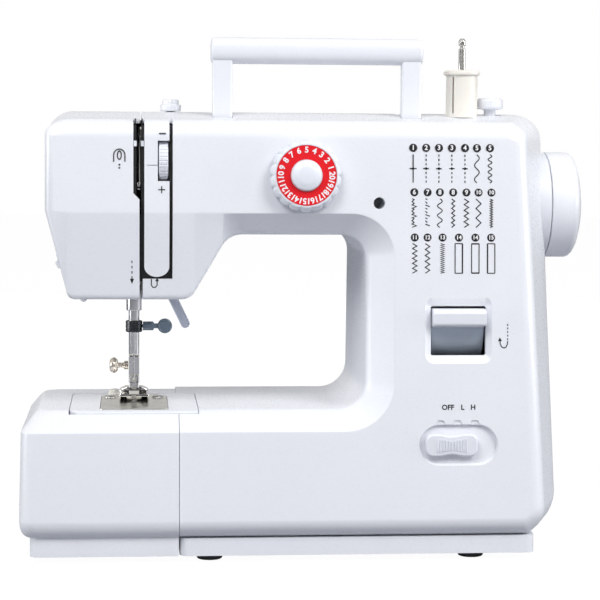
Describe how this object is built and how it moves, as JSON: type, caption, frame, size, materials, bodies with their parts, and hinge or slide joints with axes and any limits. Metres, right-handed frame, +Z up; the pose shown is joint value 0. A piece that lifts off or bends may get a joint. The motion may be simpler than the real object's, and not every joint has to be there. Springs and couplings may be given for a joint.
{
  "type": "sewing machine",
  "caption": "Household free-arm sewing machine with slide-off table, pattern dial, handwheel, speed switch and folding handle; a cast frame carries the drive inside thin plastic covers.",
  "frame": {"origin": "middle of the bounding box at the level of the rubber feet's undersides", "axes": "+X right along the bed as the operator sees it, from the table end to the handwheel; -Y towards the operator; +Z up"},
  "size_m": [0.34, 0.14, 0.3066],
  "materials": {
    "casing": "satin moulded ABS, cool white",
    "knob": "moulded ABS, cool white, slightly glossier than the casing",
    "dial_red": "printed red ring with white digits",
    "black": "black inner parts",
    "rubber": "dark rubber",
    "ivory": "ivory spool post",
    "grey_plastic": "blue-grey plastic",
    "polished_steel": "polished steel",
    "satin_steel": "satin plate",
    "alloy": "as-cast alloy",
    "brass": "turned brass",
    "dark_steel": "blackened steel",
    "lens": "frosted lens",
    "board": "green circuit board"
  },
  "bodies": {
    "machine": {"front_cover": "casing", "rear_cover": "casing", "face_cover": "casing", "thread_strip": "casing", "thread_channel": "black", "base_plate": "casing", "rubber_foot_1": "rubber", "rubber_foot_2": "rubber", "rubber_foot_3": "rubber", "rubber_foot_4": "rubber", "free_arm": "casing", "needle_plate": "satin_steel", "needle_plate_screw_left": "polished_steel", "needle_plate_screw_right": "polished_steel", "hook_race": "satin_steel", "bobbin_case": "polished_steel", "bobbin": "polished_steel", "chassis": "alloy", "upper_bush_left": "brass", "upper_bush_right": "brass", "timing_belt": "rubber", "motor_belt": "rubber", "motor": "dark_steel", "bar_guide": "alloy", "presser_spring": "polished_steel", "work_lamp": "lens", "thread_cutter": "grey_plastic", "speed_board": "board", "socket_panel": "black", "spool_post": "ivory", "thread_guide": "casing"},
    "table": {"extension_table": "casing"},
    "upper_drive": {"handwheel": "casing", "upper_shaft": "polished_steel", "needle_crank": "dark_steel", "drive_pulley": "black", "timing_pulley_upper": "black"},
    "lower_drive": {"lower_shaft": "polished_steel"},
    "hook": {"shuttle_hook": "polished_steel"},
    "motor_rotor": {"motor_pulley": "brass"},
    "needle_unit": {"needle_bar": "polished_steel", "needle_link": "dark_steel", "needle_clamp": "dark_steel", "needle": "polished_steel"},
    "clamp_screw": {"needle_clamp_screw": "grey_plastic"},
    "take_up": {"take_up_lever": "polished_steel"},
    "feed": {"feed_dog": "satin_steel"},
    "presser": {"presser_bar": "polished_steel", "presser_ankle": "polished_steel"},
    "ankle_screw": {"presser_screw": "brass"},
    "foot": {"presser_foot": "polished_steel"},
    "lifter": {"presser_lifter": "grey_plastic"},
    "dial": {"pattern_dial": "knob", "dial_ring": "dial_red"},
    "tension": {"tension_dial": "knob"},
    "reverse": {"reverse_lever": "knob"},
    "power": {"power_slider": "knob"},
    "bail": {"handle": "casing"},
    "pin": {"spool_pin": "polished_steel"},
    "winder": {"bobbin_winder": "knob"}
  },
  "joints": [
    {"name": "table_slide", "type": "slide", "parent": "machine", "child": "table", "axis": [-1, 0, 0], "range_m": [0, 0.095]},
    {"name": "handwheel_turn", "type": "hinge", "parent": "machine", "child": "upper_drive", "pos_m": [0, 0.006, 0.2069], "axis": [1, 0, 0], "continuous": true},
    {"name": "lower_shaft_turn", "type": "hinge", "parent": "machine", "child": "lower_drive", "pos_m": [0, 0.012, 0.066], "axis": [1, 0, 0], "continuous": true},
    {"name": "hook_turn", "type": "hinge", "parent": "machine", "child": "hook", "pos_m": [-0.1039, 0, 0.066], "axis": [0, 1, 0], "continuous": true},
    {"name": "motor_turn", "type": "hinge", "parent": "machine", "child": "motor_rotor", "pos_m": [0, 0.04349, 0.058], "axis": [1, 0, 0], "continuous": true},
    {"name": "needle_stroke", "type": "slide", "parent": "machine", "child": "needle_unit", "axis": [0, 0, -1], "range_m": [0, 0.028]},
    {"name": "clamp_screw_turn", "type": "hinge", "parent": "needle_unit", "child": "clamp_screw", "pos_m": [-0.1039, -0.009, 0.1333], "axis": [1, 0, 0], "range_deg": [0, 360]},
    {"name": "take_up_swing", "type": "hinge", "parent": "machine", "child": "take_up", "pos_m": [-0.1039, 0.014, 0.248], "axis": [-1, 0, 0], "range_deg": [0, 22]},
    {"name": "feed_stroke", "type": "slide", "parent": "machine", "child": "feed", "axis": [0, -1, 0], "range_m": [0, 0.0029]},
    {"name": "presser_lift", "type": "slide", "parent": "machine", "child": "presser", "axis": [0, 0, 1], "range_m": [0, 0.006], "deforming": ["presser_spring"]},
    {"name": "ankle_screw_turn", "type": "hinge", "parent": "presser", "child": "ankle_screw", "pos_m": [-0.1039, 0.003, 0.1083], "axis": [1, 0, 0], "range_deg": [0, 360]},
    {"name": "foot_tilt", "type": "hinge", "parent": "presser", "child": "foot", "pos_m": [-0.1039, 0.004, 0.0935], "axis": [-1, 0, 0], "range_deg": [0, 8]},
    {"name": "lifter_turn", "type": "hinge", "parent": "machine", "child": "lifter", "pos_m": [-0.0845, 0.0203, 0.157], "axis": [0, -1, 0], "range_deg": [0, 45]},
    {"name": "dial_turn", "type": "hinge", "parent": "machine", "child": "dial", "pos_m": [-0.0052, -0.05752, 0.2244], "axis": [0, -0.998, 0.0628], "continuous": true},
    {"name": "tension_turn", "type": "hinge", "parent": "machine", "child": "tension", "pos_m": [-0.0869, -0.0436, 0.2327], "axis": [1, 0, 0], "range_deg": [-130, 130]},
    {"name": "reverse_press", "type": "hinge", "parent": "machine", "child": "reverse", "pos_m": [0.0845, -0.02825, 0.1412], "axis": [1, 0, 0], "range_deg": [0, 12], "stiffness_Nm_per_rad": 0.6, "springref_deg": -5.73},
    {"name": "power_slide", "type": "slide", "parent": "machine", "child": "power", "axis": [1, 0, 0], "range_m": [0, 0.0085]},
    {"name": "handle_fold", "type": "hinge", "parent": "machine", "child": "bail", "pos_m": [0.0042, -0.024, 0.251], "axis": [-1, 0, 0], "range_deg": [0, 60]},
    {"name": "pin_slide", "type": "slide", "parent": "machine", "child": "pin", "axis": [0, 0, -1], "range_m": [0, 0.019]},
    {"name": "winder_engage", "type": "slide", "parent": "machine", "child": "winder", "axis": [1, 0, 0], "range_m": [0, 0.003]}
  ],
  "couplings": [
    {"joint": "lower_shaft_turn", "follows": "handwheel_turn", "ratio": 1},
    {"joint": "hook_turn", "follows": "handwheel_turn", "ratio": 1},
    {"joint": "motor_turn", "follows": "handwheel_turn", "ratio": 4},
    {"joint": "take_up_swing", "follows": "needle_stroke", "rad_per_m": 13.5},
    {"joint": "feed_stroke", "follows": "needle_stroke", "ratio": 0.1},
    {"joint": "lifter_turn", "follows": "presser_lift", "rad_per_m": 130.9}
  ]
}
